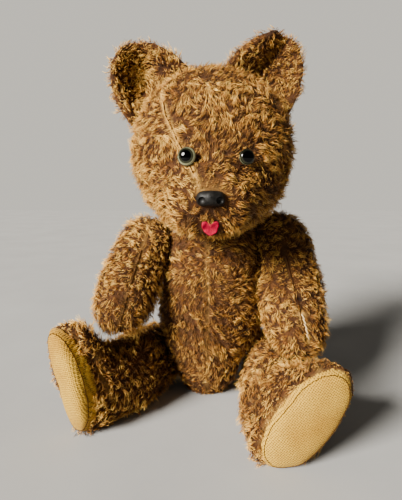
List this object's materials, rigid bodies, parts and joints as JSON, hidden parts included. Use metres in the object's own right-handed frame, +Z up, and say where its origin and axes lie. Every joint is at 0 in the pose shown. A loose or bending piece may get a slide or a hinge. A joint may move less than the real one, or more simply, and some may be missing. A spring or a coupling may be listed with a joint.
{
  "type": "teddy bear",
  "caption": "Sitting disc-jointed mohair teddy bear with big cupped ears, glass eyes, black nose, red felt tongue and woven foot pads; head, arms and legs turn.",
  "frame": {"origin": "centre of the flat seat under the body", "axes": "+Z up, the bear faces -Y, its own left is +X"},
  "size_m": [0.2728, 0.2164, 0.3811],
  "materials": {
    "mohair_cloth": "golden brown curly pile, worn",
    "cotton_pad": "coarse plain weave, soiled",
    "felt": "red wool felt",
    "wood_wool": "packed fine shavings",
    "hardboard": "smooth pressed board",
    "steel_wire": "dull",
    "eye_glass": "opaque domed glass, painted behind",
    "nose_plastic": "moulded, rubbed"
  },
  "bodies": {
    "body": {"body_filling": "wood_wool", "body_panel_left": "mohair_cloth", "body_panel_right": "mohair_cloth", "neck_disc_inner": "hardboard", "neck_washer_inner": "steel_wire", "right_arm_disc_inner": "hardboard", "right_arm_washer_inner": "steel_wire", "left_arm_disc_inner": "hardboard", "left_arm_washer_inner": "steel_wire", "right_leg_disc_inner": "hardboard", "right_leg_washer_inner": "steel_wire", "left_leg_disc_inner": "hardboard", "left_leg_washer_inner": "steel_wire"},
    "head": {"head_filling": "wood_wool", "head_gusset": "mohair_cloth", "head_panel_left": "mohair_cloth", "head_panel_right": "mohair_cloth", "ear_left_back": "mohair_cloth", "ear_left_front": "mohair_cloth", "ear_right_back": "mohair_cloth", "ear_right_front": "mohair_cloth", "eye_left": "eye_glass", "eye_left_shank": "steel_wire", "eye_right": "eye_glass", "eye_right_shank": "steel_wire", "nose": "nose_plastic", "tongue": "felt", "neck_disc_outer": "hardboard", "neck_washer_outer": "steel_wire", "neck_cotter_pin": "steel_wire"},
    "right_arm": {"right_arm_filling": "wood_wool", "right_arm_panel_inner": "mohair_cloth", "right_arm_panel_outer": "mohair_cloth", "right_arm_disc_outer": "hardboard", "right_arm_washer_outer": "steel_wire", "right_arm_cotter_pin": "steel_wire"},
    "left_arm": {"left_arm_filling": "wood_wool", "left_arm_panel_inner": "mohair_cloth", "left_arm_panel_outer": "mohair_cloth", "left_arm_disc_outer": "hardboard", "left_arm_washer_outer": "steel_wire", "left_arm_cotter_pin": "steel_wire"},
    "right_leg": {"right_leg_filling": "wood_wool", "right_leg_panel_inner": "mohair_cloth", "right_leg_panel_outer": "mohair_cloth", "right_leg_disc_outer": "hardboard", "right_leg_washer_outer": "steel_wire", "right_leg_cotter_pin": "steel_wire", "right_leg_foot_pad": "cotton_pad"},
    "left_leg": {"left_leg_filling": "wood_wool", "left_leg_panel_inner": "mohair_cloth", "left_leg_panel_outer": "mohair_cloth", "left_leg_disc_outer": "hardboard", "left_leg_washer_outer": "steel_wire", "left_leg_cotter_pin": "steel_wire", "left_leg_foot_pad": "cotton_pad"}
  },
  "joints": [
    {"name": "neck", "type": "hinge", "parent": "body", "child": "head", "pos_m": [0.0035, -0.006, 0.198], "axis": [0, -0.2079, 0.9781], "continuous": true},
    {"name": "right_shoulder", "type": "hinge", "parent": "body", "child": "right_arm", "pos_m": [-0.0424, -0.001, 0.15], "axis": [-0.9744, 0, 0.225], "range_deg": [0, 65]},
    {"name": "left_shoulder", "type": "hinge", "parent": "body", "child": "left_arm", "pos_m": [0.0506, -0.001, 0.15], "axis": [-0.9903, 0, -0.1392], "range_deg": [0, 70]},
    {"name": "right_hip", "type": "hinge", "parent": "body", "child": "right_leg", "pos_m": [-0.041, 0.013, 0.041], "axis": [0.9237, -0.2475, 0.2924], "range_deg": [0, 90]},
    {"name": "left_hip", "type": "hinge", "parent": "body", "child": "left_leg", "pos_m": [0.043, -0.006, 0.041], "axis": [0.9397, 0, -0.342], "range_deg": [0, 90]}
  ]
}
